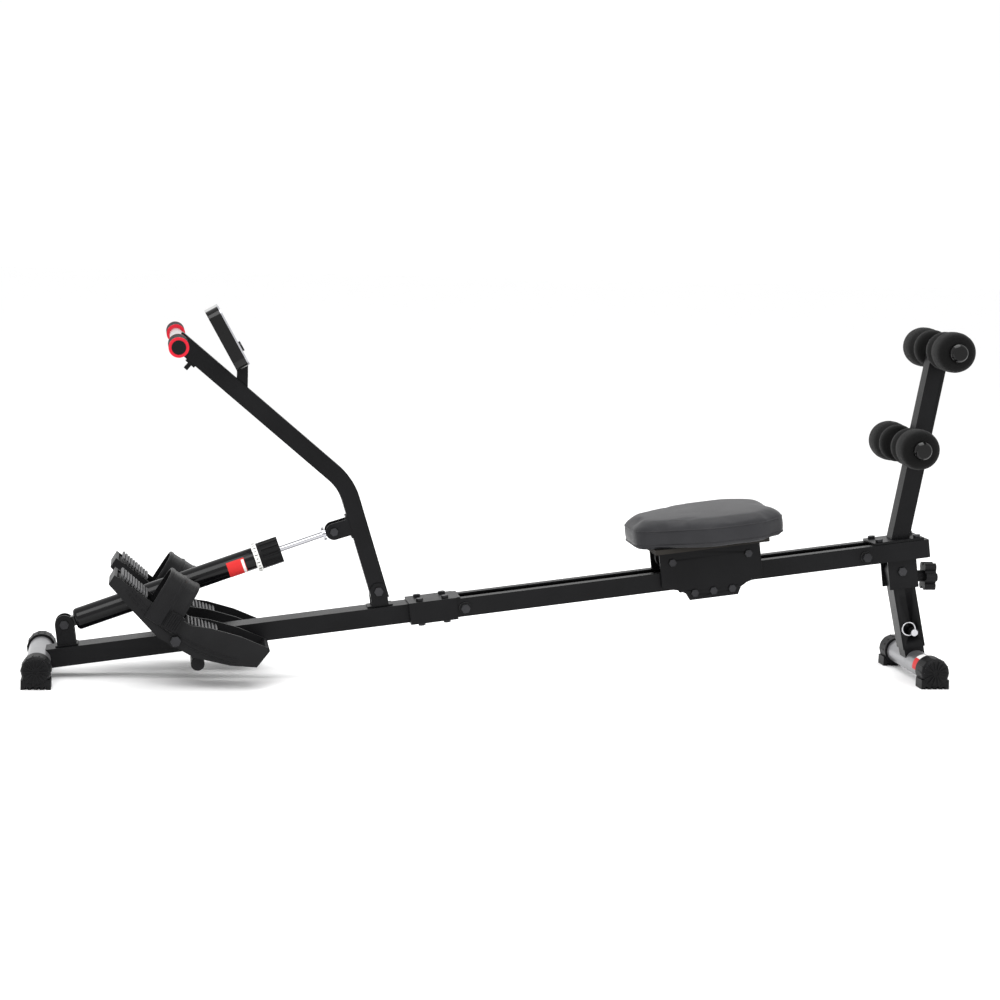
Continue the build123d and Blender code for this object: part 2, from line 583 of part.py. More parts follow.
# ---- folding rear leg ----
def make_leg_bracket():
    outer = BRACKET_INNER_Y + 4
    low, high = LEG_PIVOT_W - 34, -HALF_BEAM
    plate = block(LEG_PIVOT_U - 27, LEG_PIVOT_U + 30.5, BRACKET_INNER_Y, outer, low, high)
    rear = block(LEG_PIVOT_U + 26.5, LEG_PIVOT_U + 30.5, -outer, outer, low, high)
    bracket = plate + mirror(plate, about=Plane.XZ) + rear
    bracket -= rod_y(LEG_PIVOT_U, LEG_PIVOT_W, -40, 40, 5.0)
    bracket = BEAM * bracket
    knob_z = LEG_PIVOT[1] - STAR_KNOB_DROP
    hole = rod_x(LEG_PIVOT[0], LEG_PIVOT[0] + 80, 5.05, z=knob_z)
    save("leg_bracket", bracket - hole)

    tip = LEG_PIVOT[0] + 27.2
    stem = rod_x(tip, tip + 22, 5.0, z=knob_z)
    hub = rod_x(tip + 10, tip + 22, 11, z=knob_z)
    head = rod_x(tip + 22, tip + 44, 20, z=knob_z)
    lobes = 6
    for number in range(lobes):
        angle = math.tau * number / lobes
        y = (STAR_KNOB_R - 8) * math.cos(angle)
        z = (STAR_KNOB_R - 8) * math.sin(angle)
        head += rod_x(tip + 22, tip + 44, 8, y, knob_z + z)
    save("star_knob", stem + hub + head)
    return BEAM * through_bolt(LEG_PIVOT_U, LEG_PIVOT_W, outer, 5.0, 9.0)


def make_leg():
    half, inner_half = LEG_SIZE / 2, INNER_LEG_SIZE / 2
    leg = block(-half, half, -half, half, -LEG_LENGTH, 0) + rod_y(0, 0, -half, half, half)
    leg -= block(WALL - half, half - WALL, WALL - half, half - WALL, -LEG_LENGTH - 1, 6)
    leg -= rod_y(0, 0, -half - 1, half + 1, 5.05)
    leg -= rod_y(0, -PIN_DROP, -half - 1, 0, 3.6)
    collar = rod_y(0, -PIN_DROP, -half - 6, -half, 8) - rod_y(0, -PIN_DROP, -60, 0, 3.6)
    save("outer_leg", LEG * leg, LEG * collar)

    pin_start = -inner_half - 0.6
    pin = rod_y(0, -PIN_DROP, -half - 14, pin_start, 3.52)
    pin += rod_y(0, -PIN_DROP, -half - 20, -half - 12, 6.6)
    ring = Pos(-9, -half - 16, 9 - PIN_DROP) * Rot(90, 0, 0) * Torus(12.6, 1.3)
    save("pull_pin", LEG * pin, LEG * (ring - pin))

    stabiliser_x = LEG_PIVOT[0] + LEG_TO_STABILISER * math.sin(math.radians(LEG_LEAN))
    stabiliser_z = LEG_PIVOT[1] - LEG_TO_STABILISER * math.cos(math.radians(LEG_LEAN))
    place = Pos(stabiliser_x, 0, stabiliser_z)
    rear_tube = place * rod_y(0, 0, -STABILISER_HALF, STABILISER_HALF, STABILISER_R)
    rear_bore = place * rod_y(0, 0, -200, 200, STABILISER_R - WALL)
    save("rear_stabiliser", rear_tube - rear_bore)
    inner = block(-inner_half, inner_half, -inner_half, inner_half, -LEG_TO_STABILISER, -45)
    inner -= block(
        WALL - inner_half, inner_half - WALL, WALL - inner_half, inner_half - WALL, -LEG_TO_STABILISER - 1, -44
    )
    save("inner_leg", LEG * inner - rear_tube)
    caps = stabiliser_caps(stabiliser_z)
    save("rear_stabiliser_caps", *[Pos(stabiliser_x, 0, 0) * cap for cap in caps])


make_front_frame()
cylinder_bracket, cylinder_bolt = make_cylinder_bracket()
arm_bracket, arm_bolt = make_arm_bracket()
axle_saddle, axle_nuts = make_pedal_supports()
joint_bolts = make_joint_sleeve()
stop_bolts = make_seat_rail()
make_carriage()
arm_clevis = make_row_arm()
handlebar_clamp = make_handlebar()
console_stem = make_console()
make_cylinder()
make_pedals()
upright_bolts = make_upright()
leg_bolt = make_leg_bracket()
make_leg()
save("beam_brackets", cylinder_bracket, arm_bracket, axle_saddle)
save("pivot_bolts", cylinder_bolt, arm_bolt, leg_bolt)
save("frame_bolts", *joint_bolts, *stop_bolts, *axle_nuts, *upright_bolts)
save("arm_brackets", arm_clevis, handlebar_clamp, console_stem)
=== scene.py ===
"""Looks for a home rowing machine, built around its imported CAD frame.

Lengths are in metres, unless a comment says mm.
"""

import json
import math

import bmesh
import bpy
from mathutils import Matrix, Vector
from mathutils.bvhtree import BVHTree


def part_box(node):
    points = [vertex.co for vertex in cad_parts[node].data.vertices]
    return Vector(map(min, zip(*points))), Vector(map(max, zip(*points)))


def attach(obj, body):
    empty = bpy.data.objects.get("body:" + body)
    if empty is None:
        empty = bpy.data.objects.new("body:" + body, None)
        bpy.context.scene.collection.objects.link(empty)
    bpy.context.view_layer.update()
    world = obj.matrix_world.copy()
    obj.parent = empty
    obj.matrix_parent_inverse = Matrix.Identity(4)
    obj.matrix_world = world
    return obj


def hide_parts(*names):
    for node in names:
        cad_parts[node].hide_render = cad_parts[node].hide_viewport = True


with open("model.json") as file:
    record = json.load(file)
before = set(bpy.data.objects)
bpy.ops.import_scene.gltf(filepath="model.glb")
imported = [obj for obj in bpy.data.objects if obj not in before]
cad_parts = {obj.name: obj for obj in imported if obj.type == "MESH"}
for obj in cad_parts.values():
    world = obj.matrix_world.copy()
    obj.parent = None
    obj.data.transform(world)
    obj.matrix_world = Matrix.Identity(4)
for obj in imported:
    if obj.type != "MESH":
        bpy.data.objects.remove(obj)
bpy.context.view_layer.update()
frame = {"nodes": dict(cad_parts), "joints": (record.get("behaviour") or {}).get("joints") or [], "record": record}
joints = {joint["name"]: joint for joint in frame["joints"]}
slot_of = {entry["node"]: entry["material_slot"] for entry in frame["record"]["subparts"]}
MM = 0.001
SIDES = (("left", -1), ("right", 1))


# ---- camera, floor and light ----
CAMERA_TARGET = Vector((0.0, 0.0, 0.337))
CAMERA_DISTANCE = 4.73
CAMERA_AZIMUTH = math.radians(8.1)
CAMERA_ELEVATION = math.radians(6.5)
CAMERA_ROLL = math.radians(1.5)
CAMERA_LENS = 90.0
SKY_STRENGTH = 1.02
FLOOR_SIZE = 60
FLOOR_COLOR = (0.98, 0.98, 0.98, 1)
FLOOR_ROUGHNESS = 0.9
# name, place, size, power in watts
LAMPS = (
    ("key", (-1.6, -2.6, 3.2), 2.4, 90),
    ("fill", (2.6, -2.2, 1.8), 2.0, 40),
    ("top", (0.2, 0.6, 3.4), 2.5, 70),
)


def make_camera():
    flat = math.cos(CAMERA_ELEVATION)
    forward = Vector(
        (flat * math.sin(CAMERA_AZIMUTH), flat * math.cos(CAMERA_AZIMUTH), -math.sin(CAMERA_ELEVATION))
    )
    right = forward.cross(Vector((0, 0, 1))).normalized()
    up = right.cross(forward)
    right, up = (
        right * math.cos(CAMERA_ROLL) + up * math.sin(CAMERA_ROLL),
        up * math.cos(CAMERA_ROLL) - right * math.sin(CAMERA_ROLL),
    )
    camera = bpy.data.objects.new("camera", bpy.data.cameras.new("camera"))
    camera.data.lens = CAMERA_LENS
    place = Matrix((right, up, -forward)).transposed().to_4x4()
    place.translation = CAMERA_TARGET - forward * CAMERA_DISTANCE
    camera.matrix_world = place
    bpy.context.scene.collection.objects.link(camera)
    bpy.context.scene.camera = camera


def area_light(name, place, size, power):
    light = bpy.data.lights.new(name, "AREA")
    light.size = size
    light.energy = power
    lamp = bpy.data.objects.new(name, light)
    lamp.location = place
    lamp.rotation_euler = (CAMERA_TARGET - lamp.location).to_track_quat("-Z", "Y").to_euler()
    bpy.context.scene.collection.objects.link(lamp)


def make_studio():
    world = bpy.data.worlds.new("studio")
    bpy.context.scene.world = world
    world.use_nodes = True
    world.node_tree.nodes["Background"].inputs[0].default_value = (1.0, 1.0, 1.0, 1)
    world.node_tree.nodes["Background"].inputs[1].default_value = SKY_STRENGTH
    for name, place, size, power in LAMPS:
        area_light(name, place, size, power)
    bpy.context.scene.view_settings.view_transform = "Standard"
    bpy.ops.mesh.primitive_plane_add(size=FLOOR_SIZE)
    floor = bpy.context.object
    floor.name = "floor"
    material = bpy.data.materials.new("pale_floor")
    material.use_nodes = True
    shader = material.node_tree.nodes["Principled BSDF"]
    shader.inputs["Base Color"].default_value = FLOOR_COLOR
    shader.inputs["Roughness"].default_value = FLOOR_ROUGHNESS
    floor.data.materials.append(material)


# ---- materials ----
COAT_ROUGHNESS = 0.12
BRUSHED_SCALE = (1.0, 0.04, 1.0)
BROAD_SCALE = 14.0
BROAD_DETAIL = 6.0
FINE_DETAIL = 4.0
TONE_START = 0.3
TONE_END = 0.72
GLOSS_LOW = 0.82
GLOSS_HIGH = 1.18
LOWEST_ROUGHNESS = 0.03
RELIEF_DEPTH = 0.0006


def finish(name, color, roughness, metallic=0.0, grain=900.0, bump=0.08, variation=0.25,
           pattern="noise", coat=0.0, sheen=0.0, specular=0.10):
    """A procedural surface: fine relief, broad tone changes and uneven gloss."""
    material = bpy.data.materials.new(name)
    material.use_nodes = True
    tree = material.node_tree
    nodes, links = tree.nodes, tree.links
    shader = nodes["Principled BSDF"]
    shader.inputs["Metallic"].default_value = metallic
    shader.inputs["Coat Weight"].default_value = coat
    shader.inputs["Coat Roughness"].default_value = COAT_ROUGHNESS
    shader.inputs["Specular IOR Level"].default_value = specular
    shader.inputs["Sheen Weight"].default_value = sheen
    place = nodes.new("ShaderNodeTexCoord")
    mapping = nodes.new("ShaderNodeMapping")
    links.new(place.outputs["Object"], mapping.inputs["Vector"])
    if pattern == "brushed":
        mapping.inputs["Scale"].default_value = BRUSHED_SCALE

    broad = nodes.new("ShaderNodeTexNoise")
    broad.inputs["Scale"].default_value = BROAD_SCALE
    broad.inputs["Detail"].default_value = BROAD_DETAIL
    links.new(place.outputs["Object"], broad.inputs["Vector"])
    tones = nodes.new("ShaderNodeValToRGB")
    tones.color_ramp.elements[0].position = TONE_START
    tones.color_ramp.elements[1].position = TONE_END
    low = [channel * (1 - variation) for channel in color]
    high = [min(1.0, channel * (1 + variation)) for channel in color]
    tones.color_ramp.elements[0].color = (*low, 1)
    tones.color_ramp.elements[1].color = (*high, 1)
    links.new(broad.outputs["Fac"], tones.inputs["Fac"])
    links.new(tones.outputs["Color"], shader.inputs["Base Color"])

    gloss = nodes.new("ShaderNodeMapRange")
    gloss.inputs["To Min"].default_value = max(LOWEST_ROUGHNESS, roughness * GLOSS_LOW)
    gloss.inputs["To Max"].default_value = min(1.0, roughness * GLOSS_HIGH)
    links.new(broad.outputs["Fac"], gloss.inputs["Value"])
    links.new(gloss.outputs["Result"], shader.inputs["Roughness"])

    if pattern in ("leather", "foam"):
        fine = nodes.new("ShaderNodeTexVoronoi")
        fine.feature = "F1" if pattern == "foam" else "DISTANCE_TO_EDGE"
        height = fine.outputs["Distance"]
    else:
        fine = nodes.new("ShaderNodeTexNoise")
        fine.inputs["Detail"].default_value = FINE_DETAIL
        height = fine.outputs["Fac"]
    fine.inputs["Scale"].default_value = grain
    links.new(mapping.outputs["Vector"], fine.inputs["Vector"])
    relief = nodes.new("ShaderNodeBump")
    relief.inputs["Strength"].default_value = bump
    relief.inputs["Distance"].default_value = RELIEF_DEPTH
    links.new(height, relief.inputs["Height"])
    links.new(relief.outputs["Normal"], shader.inputs["Normal"])
    return material


FINISHES = {
    "black_paint": finish("black_powder_coat", (0.0045, 0.0045, 0.005), 0.34, grain=1100, bump=0.25),
    "grey_paint": finish("dark_silver_paint", (0.27, 0.27, 0.28), 0.30, metallic=0.7, grain=1500, bump=0.08),
    "cylinder_paint": finish("gloss_black_paint", (0.003, 0.003, 0.0035), 0.16, grain=500, bump=0.03,
                             coat=0.2),
    "chrome_rod": finish("polished_chrome", (0.40, 0.40, 0.42), 0.16, metallic=1.0, variation=0.04,
                         grain=700, bump=0.03, pattern="brushed"),
    "black_zinc": finish("black_zinc", (0.030, 0.030, 0.032), 0.34, metallic=0.7, grain=1400, bump=0.12),
    "bright_zinc": finish("bright_zinc", (0.46, 0.46, 0.48), 0.27, metallic=1.0, grain=900, bump=0.1,
                          variation=0.08, pattern="brushed"),
    "cap_plastic": finish("moulded_plastic", (0.006, 0.006, 0.0065), 0.44, grain=1300, bump=0.22),
    "gloss_cap": finish("gloss_plastic", (0.003, 0.003, 0.003), 0.12, grain=260, bump=0.02, coat=0.3),
    "pedal_plastic": finish("pedal_plastic", (0.008, 0.008, 0.0085), 0.40, grain=1000, bump=0.28),
    "strap_web": finish("strap_rubber", (0.006, 0.006, 0.0065), 0.46, grain=1600, bump=0.35, sheen=0.05),
    "seat_vinyl": finish("seat_vinyl", (0.022, 0.022, 0.024), 0.42, grain=520, bump=0.35,
                         pattern="leather", variation=0.12, sheen=0.04),
    "plywood": finish("plywood", (0.020, 0.018, 0.016), 0.7, grain=300, bump=0.3, pattern="brushed"),
    "foam": finish("closed_cell_foam", (0.003, 0.003, 0.003), 0.92, grain=700, bump=0.9,
                   pattern="foam", sheen=0.06),
    "grip_rubber": finish("grip_rubber", (0.006, 0.006, 0.0065), 0.6, grain=900, bump=0.6, pattern="foam"),
    "red_trim": finish("red_plastic", (0.52, 0.015, 0.03), 0.32, grain=900, bump=0.06, variation=0.1),
    "dial_white": finish("dial_white", (0.75, 0.75, 0.73), 0.42, grain=1100, bump=0.08, variation=0.05),
    "silver_trim": finish("silver_plastic", (0.36, 0.36, 0.38), 0.28, metallic=0.6, grain=1200, bump=0.05,
                          variation=0.08),
    "lens_dark": finish("display_lens", (0.030, 0.038, 0.034), 0.08, grain=120, bump=0.01, coat=1.0),
}
# The tread ridges are the pedal's black plastic, painted a lighter grey as a painted highlight where light catches
# them.
TREAD_HIGHLIGHT_GREY = finish("tread_painted_highlight", (0.07, 0.07, 0.072), 0.42, grain=900, bump=0.3)
LABEL_RED = finish("label_red", (0.60, 0.03, 0.03), 0.45, grain=600, bump=0.04, variation=0.08)
LABEL_WHITE = finish("label_white", (0.78, 0.78, 0.77), 0.5, grain=600, bump=0.04, variation=0.04)
INK = finish("dial_ink", (0.03, 0.03, 0.03), 0.5, grain=600, bump=0.05)


# ---- edges and shading ----
SMOOTH_LIMIT = math.radians(32)
CAD_EDGE_LIMIT = math.radians(38)
PIECE_EDGE_LIMIT = math.radians(40)
WELD_DISTANCE = 0.00002
WIDE_EDGE = 0.0022
FINE_EDGE = 0.0007
WIDE_EDGES = (
    "front_beam", "row_arm", "roller_upright", "left_pedal", "right_pedal",
    "console_shell", "console_bezel", "star_knob", "resistance_knob",
)
FINE_EDGES = (
    "beam_brackets", "joint_sleeve", "leg_bracket", "arm_brackets", "carriage_frame",
    "rail_end_cap", "frame_bolts", "pivot_bolts", "carriage_bolts", "left_buckle", "right_buckle",
    "front_stabiliser_caps", "rear_stabiliser_caps", "rod_eye", "dial_ring", "seat_board", "grips",
)


def angle_shading():
    """A node group that smooths faces and keeps every edge sharper than the limit."""
    group = bpy.data.node_groups.new("smooth_by_angle", "GeometryNodeTree")
    group.interface.new_socket("Geometry", in_out="INPUT", socket_type="NodeSocketGeometry")
    group.interface.new_socket("Geometry", in_out="OUTPUT", socket_type="NodeSocketGeometry")
    nodes, links = group.nodes, group.links
    start = nodes.new("NodeGroupInput")
    end = nodes.new("NodeGroupOutput")
    smooth = nodes.new("GeometryNodeSetShadeSmooth")
    sharp = nodes.new("GeometryNodeSetShadeSmooth")
    sharp.domain = "EDGE"
    sharp.inputs["Shade Smooth"].default_value = False
    angle = nodes.new("GeometryNodeInputMeshEdgeAngle")
    steep = nodes.new("FunctionNodeCompare")
    steep.inputs[1].default_value = SMOOTH_LIMIT
    links.new(start.outputs[0], smooth.inputs["Geometry"])
    links.new(smooth.outputs[0], sharp.inputs["Geometry"])
    links.new(angle.outputs["Unsigned Angle"], steep.inputs[0])
    links.new(steep.outputs[0], sharp.inputs["Selection"])
    links.new(sharp.outputs[0], end.inputs[0])
    return group


SHADING = angle_shading()


def round_edges(piece, width, segments, limit):
    bevel = piece.modifiers.new("edges", "BEVEL")
    bevel.width = width
    bevel.segments = segments
    bevel.limit_method = "ANGLE"
    bevel.angle_limit = limit


def flatten_faces(piece):
    """Keeps wide faces flat-looking where a small bevel meets them."""
    weighted = piece.modifiers.new("flat", "WEIGHTED_NORMAL")
    weighted.keep_sharp = True


def soften(piece, width, segments=2):
    """Rounds a piece's edges, and shades it after that."""
    round_edges(piece, width, segments, PIECE_EDGE_LIMIT)
    piece.modifiers.move(piece.modifiers.find("shading"), len(piece.modifiers) - 1)
    flatten_faces(piece)


def dress_cad_nodes():
    """Gives each CAD node its material, and some of them rounded edges."""
    for name, node in frame["nodes"].items():
        node.data.materials.clear()
        node.data.materials.append(FINISHES[slot_of[name]])
        if "custom_normal" in node.data.attributes:
            node.data.attributes.remove(node.data.attributes["custom_normal"])
        weld = node.modifiers.new("weld", "WELD")
        weld.merge_threshold = WELD_DISTANCE
        if name in WIDE_EDGES:
            round_edges(node, WIDE_EDGE, 2, CAD_EDGE_LIMIT)
        if name in FINE_EDGES:
            round_edges(node, FINE_EDGE, 2, CAD_EDGE_LIMIT)
        node.modifiers.new("shading", "NODES").node_group = SHADING
        flatten_faces(node)


# ---- mesh helpers ----
def add_piece(name, vertices, faces, material, body, smooth=True):
    mesh = bpy.data.meshes.new(name)
    mesh.from_pydata([tuple(vertex) for vertex in vertices], [], faces)
    work = bmesh.new()
    work.from_mesh(mesh)
    bmesh.ops.recalc_face_normals(work, faces=work.faces)
    work.to_mesh(mesh)
    work.free()
    piece = bpy.data.objects.new(name, mesh)
    bpy.context.scene.collection.objects.link(piece)
    mesh.materials.append(material)
    if smooth:
        piece.modifiers.new("shading", "NODES").node_group = SHADING
    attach(piece, body)
    return piece


def revolve(profile, steps, place):
    """Turns (distance along, radius) points about the local Y axis."""
    vertices, faces = [], []
    rows = len(profile)
    for step in range(steps):
        angle = math.tau * step / steps
        for along, radius in profile:
            vertices.append(place @ Vector((radius * math.cos(angle), along, radius * math.sin(angle))))
    for step in range(steps):
        here = step * rows
        after = (step + 1) % steps * rows
        for row in range(rows):
            above = (row + 1) % rows
            faces.append((here + row, after + row, after + above, here + above))
    return vertices, faces


def boxes(items, place):
    """Several boxes, each (centre, size, turn about local Y), as one list of vertices and faces."""
    vertices, faces = [], []
    corners = [(x, y, z) for x in (-0.5, 0.5) for y in (-0.5, 0.5) for z in (-0.5, 0.5)]
    sides = [(0, 1, 3, 2), (4, 6, 7, 5), (0, 4, 5, 1), (2, 3, 7, 6), (0, 2, 6, 4), (1, 5, 7, 3)]
    for centre, size, turn in items:
        first = len(vertices)
        spin = Matrix.Rotation(turn, 4, "Y")
        for corner in corners:
            local = Vector([corner[axis] * size[axis] for axis in range(3)])
            vertices.append(place @ (Vector(centre) + spin @ local))
        faces += [tuple(first + index for index in side) for side in sides]
    return vertices, faces


def axis_place(axis, origin):
    """A frame with local X along an axis in the XZ plane, and local Y along world Y."""
    up = Vector((-axis.z, 0, axis.x))
    place = Matrix((axis, Vector((0, 1, 0)), up)).transposed().to_4x4()
    place.translation = origin
    return place


# ---- seat cushion ----
# The plan's corners, in mm along the rail and across it.
SEAT_CORNERS = [
    (-148, -70), (-12, -148), (90, -148), (149, -92),
    (149, 92), (90, 148), (-12, 148), (-148, 70),
]
# Height in mm, and the plan's scale there.
SEAT_LAYERS = [
    (0, 0.965), (3, 0.99), (18, 1.0), (34, 1.0), (40, 0.985),
    (44, 0.945), (47, 0.82), (48.5, 0.5), (49, 0.2),
]
SEAT_THICKNESS = 48 * MM
SEAT_CORNER_SHARE = 0.22
SEAT_VOXEL = 6 * MM
SEAT_BOARD_GAP = 0.4 * MM
SWELL_PRESSURE = 4.0
SWELL_FRAMES = 20
SWELL_LIMIT = 7 * MM
SEAM_POINTS = 10
# name, height in mm, radius in mm
SEAMS = (("seat_top_seam", 38.0, 1.3), ("seat_bottom_piping", 4.0, 1.9))


def seat_outline(points_per_corner=6):
    """The seat's plan, each corner rounded by an arc-like curve."""
    outline = []
    count = len(SEAT_CORNERS)
    for index, corner in enumerate(SEAT_CORNERS):
        here = Vector(corner)
        before = Vector(SEAT_CORNERS[index - 1])
        after = Vector(SEAT_CORNERS[(index + 1) % count])
        start = here.lerp(before, SEAT_CORNER_SHARE)
        end = here.lerp(after, SEAT_CORNER_SHARE)
        for step in range(points_per_corner):
            t = step / (points_per_corner - 1)
            outline.append((start * (1 - t) ** 2 + here * 2 * t * (1 - t) + end * t ** 2) * MM)
    return outline


def seat_place():
    low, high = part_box("seat_cushion")
    rail = Vector(joints["seat_slide"]["axis"])
    up = Vector((-rail.z, 0, rail.x))
    return axis_place(rail, (low + high) / 2 - up * SEAT_THICKNESS / 2)


def seat_shell():
    """The cushion's closed starting form, layer on layer."""
    outline = seat_outline()
    ring = len(outline)
    vertices, faces = [], []
    for height, scale in SEAT_LAYERS:
        for point in outline:
            vertices.append(Vector((point.x * scale, point.y * scale, height * MM)))
    for layer in range(len(SEAT_LAYERS) - 1):
        base = layer * ring
        for index in range(ring):
            following = (index + 1) % ring
            faces.append((base + index, base + following, base + ring + following, base + ring + index))
    faces.append(tuple(range(ring))[::-1])
    faces.append(tuple(len(vertices) - ring + index for index in range(ring)))
    return vertices, faces


def make_seat_cushion():
    vertices, faces = seat_shell()
    cushion = add_piece(
        "seat_pad", vertices, faces, FINISHES["seat_vinyl"], "carriage", smooth=False
    )
    cushion.parent = None
    remesh = cushion.modifiers.new("even", "REMESH")
    remesh.mode = "VOXEL"
    remesh.voxel_size = SEAT_VOXEL
    apply_modifiers(cushion)
    swell(cushion)
    for vertex in cushion.data.vertices:
        vertex.co.z = max(vertex.co.z, SEAT_BOARD_GAP)
    cushion.matrix_world = Matrix.Identity(4)
    cushion.data.transform(seat_place())
    rounding = cushion.modifiers.new("rounding", "SMOOTH")
    rounding.factor = 0.5
    rounding.iterations = 2
    finer = cushion.modifiers.new("finer", "SUBSURF")
    finer.levels = 1
    finer.render_levels = 1
    cushion.data.shade_smooth()
    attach(cushion, "carriage")
    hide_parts("seat_cushion")
    bpy.context.view_layer.update()
    surface = BVHTree.FromObject(cushion, bpy.context.evaluated_depsgraph_get())
    for name, height, radius in SEAMS:
        make_seam(name, height, radius, surface)


def apply_modifiers(piece):
    bpy.context.view_layer.update()
    evaluated = piece.evaluated_get(bpy.context.evaluated_depsgraph_get())
    result = bpy.data.meshes.new_from_object(evaluated)
    piece.modifiers.clear()
    piece.data = result


def swell(piece):
    """Fills the cover with air pressure, and limits how far any point may move.

    The pressure alone would move the cover by up to 44 mm, so nearly every point stops at the limit.
    """
    rest = [vertex.co.copy() for vertex in piece.data.vertices]
    cloth = piece.modifiers.new("air", "CLOTH")
    cloth.settings.use_pressure = True
    cloth.settings.uniform_pressure_force = SWELL_PRESSURE
    cloth.settings.effector_weights.gravity = 0.0
    cloth.point_cache.frame_end = SWELL_FRAMES
    scene = bpy.context.scene
    for number in range(1, SWELL_FRAMES + 1):
        scene.frame_set(number)
    apply_modifiers(piece)
    scene.frame_set(1)
    for vertex, start in zip(piece.data.vertices, rest):
        move = vertex.co - start
        if move.length > SWELL_LIMIT:
            vertex.co = start + move.normalized() * SWELL_LIMIT


def make_seam(name, height, radius, surface):
    """A raised bead laid on the cushion's surface, at one height all round."""
    outline = seat_outline(SEAM_POINTS)
    place = seat_place()
    curve = bpy.data.curves.new(name, "CURVE")
    curve.dimensions = "3D"
    curve.bevel_depth = radius * MM
    curve.bevel_resolution = 3
    line = curve.splines.new("POLY")
    line.points.add(len(outline) - 1)
    line.use_cyclic_u = True
    for point, spot in zip(line.points, outline):
        wanted = place @ Vector((spot.x, spot.y, height * MM))
        point.co = (*surface.find_nearest(wanted)[0], 1)
    bead = bpy.data.objects.new(name, curve)
    bpy.context.scene.collection.objects.link(bead)
    curve.materials.append(FINISHES["seat_vinyl"])
    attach(bead, "carriage")


# ---- foam rollers ----
# Share of the length from the inner end, and share of the radius there.
FOAM_PROFILE = [
    (0.0, 0.30), (0.0, 0.72), (0.02, 0.83), (0.06, 0.90), (0.14, 0.94), (0.22, 0.92),
    (0.28, 0.84), (0.33, 0.79), (0.38, 0.83), (0.44, 0.93), (0.52, 0.985), (0.66, 1.0),
    (0.82, 0.99), (0.92, 0.95), (0.97, 0.87), (1.0, 0.74), (1.0, 0.30),
]
FOAM_STEPS = 64


def make_foam(level, side_name, side):
    node = f"{level}_{side_name}_foam"
    low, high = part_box(node)
    radius = (high.x - low.x) / 2
    length = high.y - low.y
    inner = low.y if side > 0 else high.y
    place = Matrix.Translation(((low.x + high.x) / 2, inner, (low.z + high.z) / 2))
    profile = [(side * length * along, radius * share) for along, share in FOAM_PROFILE]
    vertices, faces = revolve(profile, FOAM_STEPS, place)
    foam = add_piece(f"{node}_sleeve", vertices, faces, FINISHES["foam"], f"{node}_body")
    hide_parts(node)


# ---- pedals, in mm in the pedal's own tilted frame ----
PEDAL_TILT = math.radians(31.5)
STRAP_HALF = 53.0
STRAP_LOW = 8.0
STRAP_TOP = 98.0
STRAP_START = -71.0
STRAP_THICKNESS = 3.0
STRAP_CLEARANCE = 1.6
STRAP_STEPS = 40
# Powers that square off the arch across the foot and upward.
STRAP_REACH_POWER = 0.55
STRAP_RISE_POWER = 0.62
# Distance along the strap's width, and how far its outside stands up there.
STRAP_RIBS = [
    (0, 0), (2, 1.3), (7, 1.3), (9, 0),
    (26, 0), (28, 1.6), (32, 1.6), (34, 0),
    (51, 0), (53, 1.3), (58, 1.3), (60, 0),
]
TOE_RIDGES = 10
TOE_X = -143
TOE_RUN = 56
TOE_TOP = 49.0
TOE_FALL = 9.0
TOE_SIZE = (4.4, 88, 5.0)
TOE_TURN = math.atan2(10, 62)
SOLE_RIDGES = 9
SOLE_X = 4
SOLE_STEP = 6.5
SOLE_Z = 22
SOLE_RISE = 1.6
SOLE_SIZE = (4.0, 84, 34)
TREAD_EDGE = 0.8 * MM
WALL_Y = 52.6
WALL_RIB_LIFTS = (13.0, 22.0)
WALL_RIB_STEPS = 24
WALL_RIB_X = -118
WALL_RIB_PITCH = 10
WALL_RIB_SIZE = (10.4, 1.8, 2.6)
WALL_RIB_EDGE = 0.4 * MM
# The tray's side follows a shallow bowl: its lowest point, then how fast it curves up.
BOWL_X = 10
BOWL_Z = -11
BOWL_CURVE = 0.0017
BUCKLE_RIBS = 6
BUCKLE_RIB_X = -31.5
BUCKLE_RIB_PITCH = 4.2
BUCKLE_RIB_Y = 63.0
BUCKLE_RIB_Z = 28
BUCKLE_RIB_SIZE = (2.0, 2.4, 28)
BUCKLE_RIB_EDGE = 0.6 * MM


def pedal_place(name):
    hub = Vector(joints[f"{name}_pedal_pivot"]["pos_m"])
    return Matrix.Translation(hub) @ Matrix.Rotation(PEDAL_TILT, 4, "Y")


def in_metres(items):
    return [([c * MM for c in centre], [s * MM for s in size], turn) for centre, size, turn in items]


